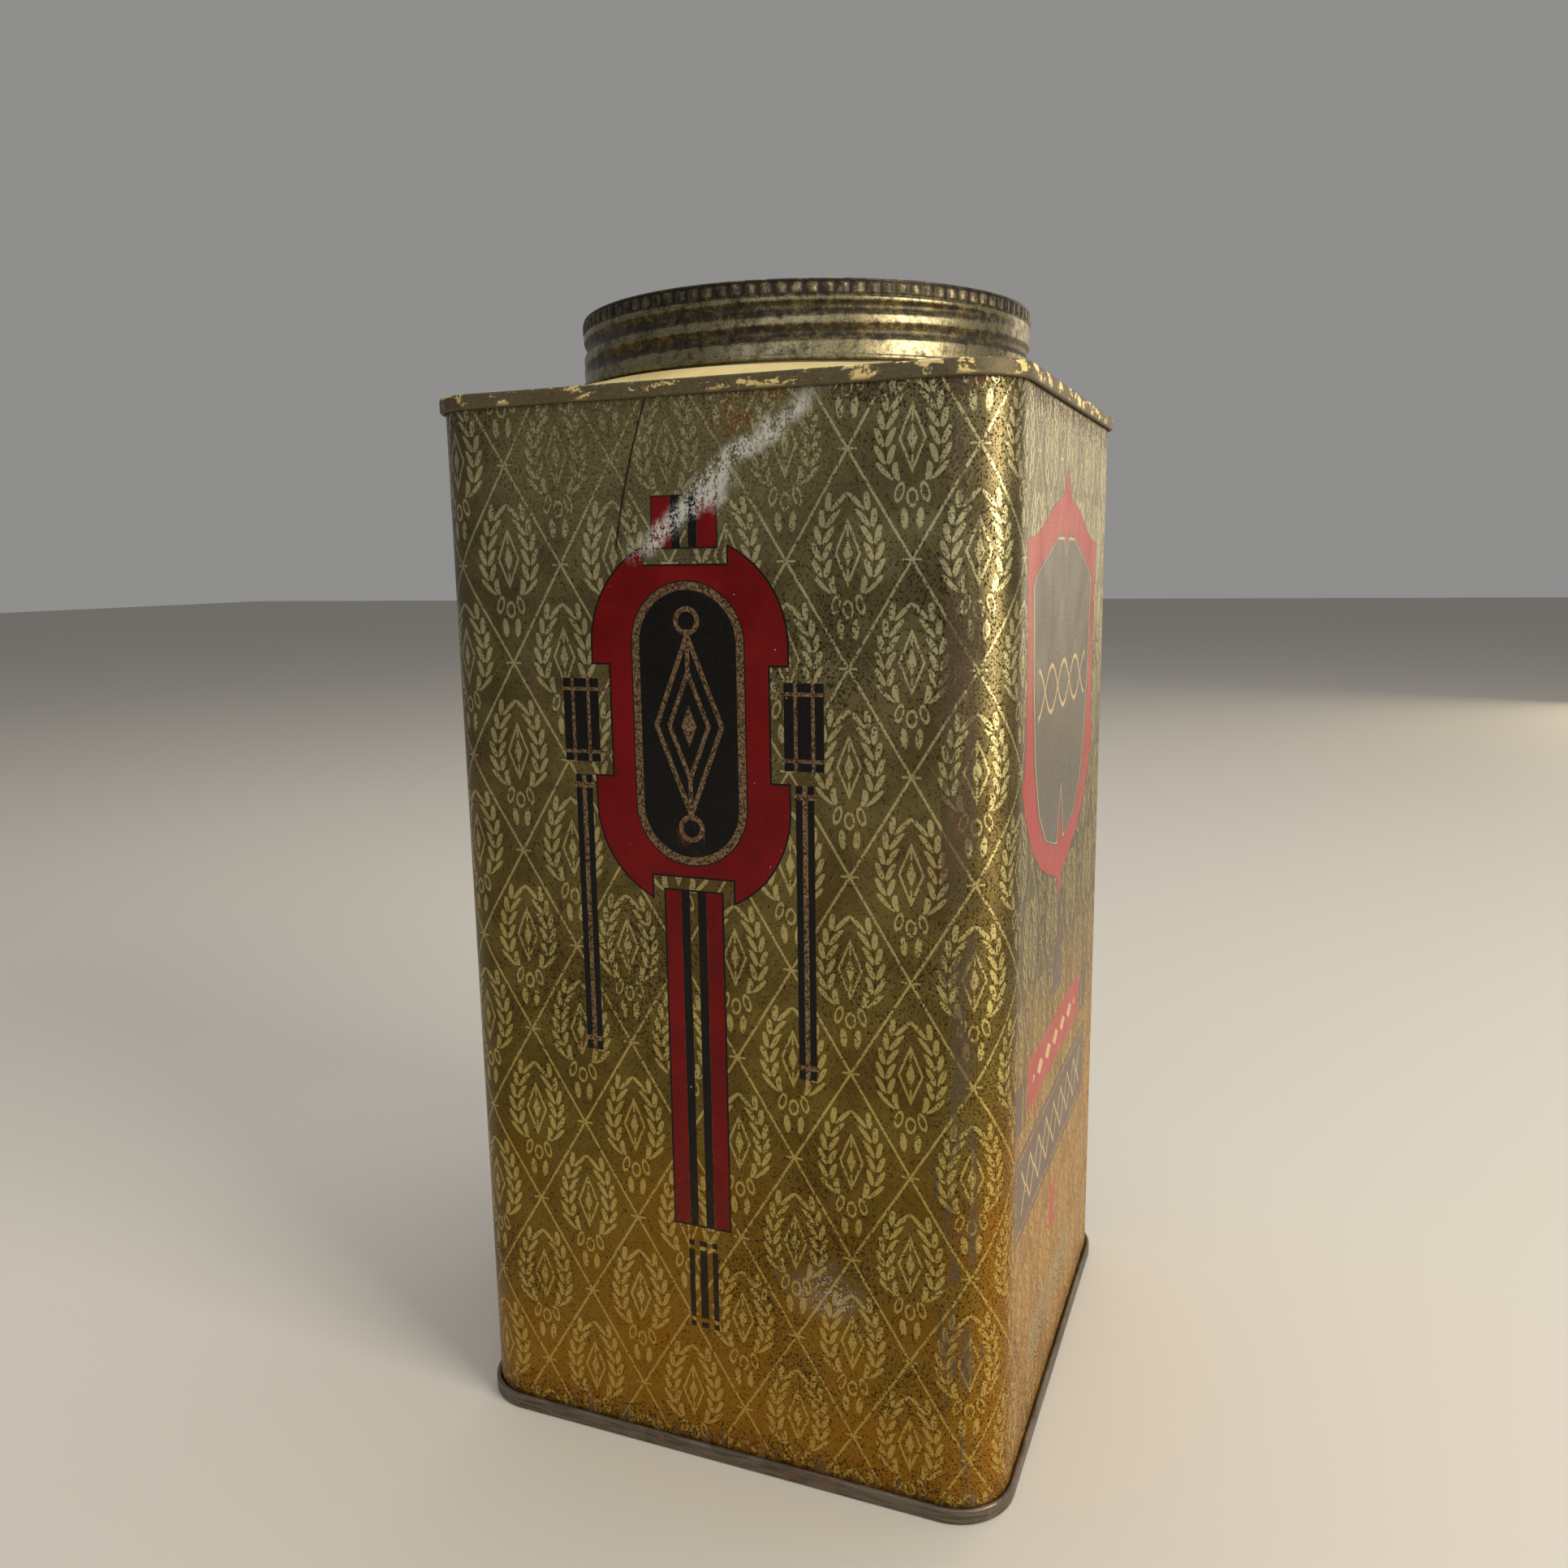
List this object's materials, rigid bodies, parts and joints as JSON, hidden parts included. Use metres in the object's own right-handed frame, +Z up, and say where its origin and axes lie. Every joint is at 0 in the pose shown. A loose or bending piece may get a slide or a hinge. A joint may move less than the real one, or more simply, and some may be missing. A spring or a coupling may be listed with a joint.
{
  "type": "square screw-lid tin canister",
  "caption": "Tall square tinplate canister with rounded corners, double seamed ends, a sloping shoulder and a wide knurled screw lid.",
  "frame": {"origin": "centre of the footprint, on the plane the can stands on", "axes": "+Z up through the lid's centre; -Y is the face with the tall ornament, +X is the face with the label"},
  "size_m": [0.1294, 0.1294, 0.2557],
  "materials": {
    "litho_tinplate": "satin lithographed gold",
    "bottom_tinplate": "dull worn tinplate",
    "gold_lacquer": "gold lacquered tinplate",
    "neck_tinplate": "plain tinplate",
    "lid_tinplate": "tarnished tinplate",
    "solder": "dull solder",
    "seam_compound": "matt",
    "pulpboard": "matt pulpboard",
    "waxed_paper": "waxed paper"
  },
  "bodies": {
    "can": {"body_shell": "litho_tinplate", "side_seam_solder": "solder", "bottom_end": "bottom_tinplate", "bottom_seam_compound": "seam_compound", "top_end": "gold_lacquer", "top_seam_compound": "seam_compound", "neck_ring": "neck_tinplate", "neck_solder": "solder"},
    "liner": {"liner_board": "pulpboard", "liner_facing": "waxed_paper"},
    "lid": {"screw_lid": "lid_tinplate"}
  },
  "joints": [
    {"name": "lid_lift", "type": "slide", "parent": "can", "child": "liner", "axis": [0, 0, 1], "range_m": [0, 0.0192]},
    {"name": "lid_turn", "type": "hinge", "parent": "liner", "child": "lid", "pos_m": [0, 0, 0.2392], "axis": [0, 0, 1], "range_deg": [0, 1440]}
  ],
  "couplings": [
    {"joint": "lid_lift", "follows": "lid_turn", "m_per_rad": 0.00076394}
  ]
}
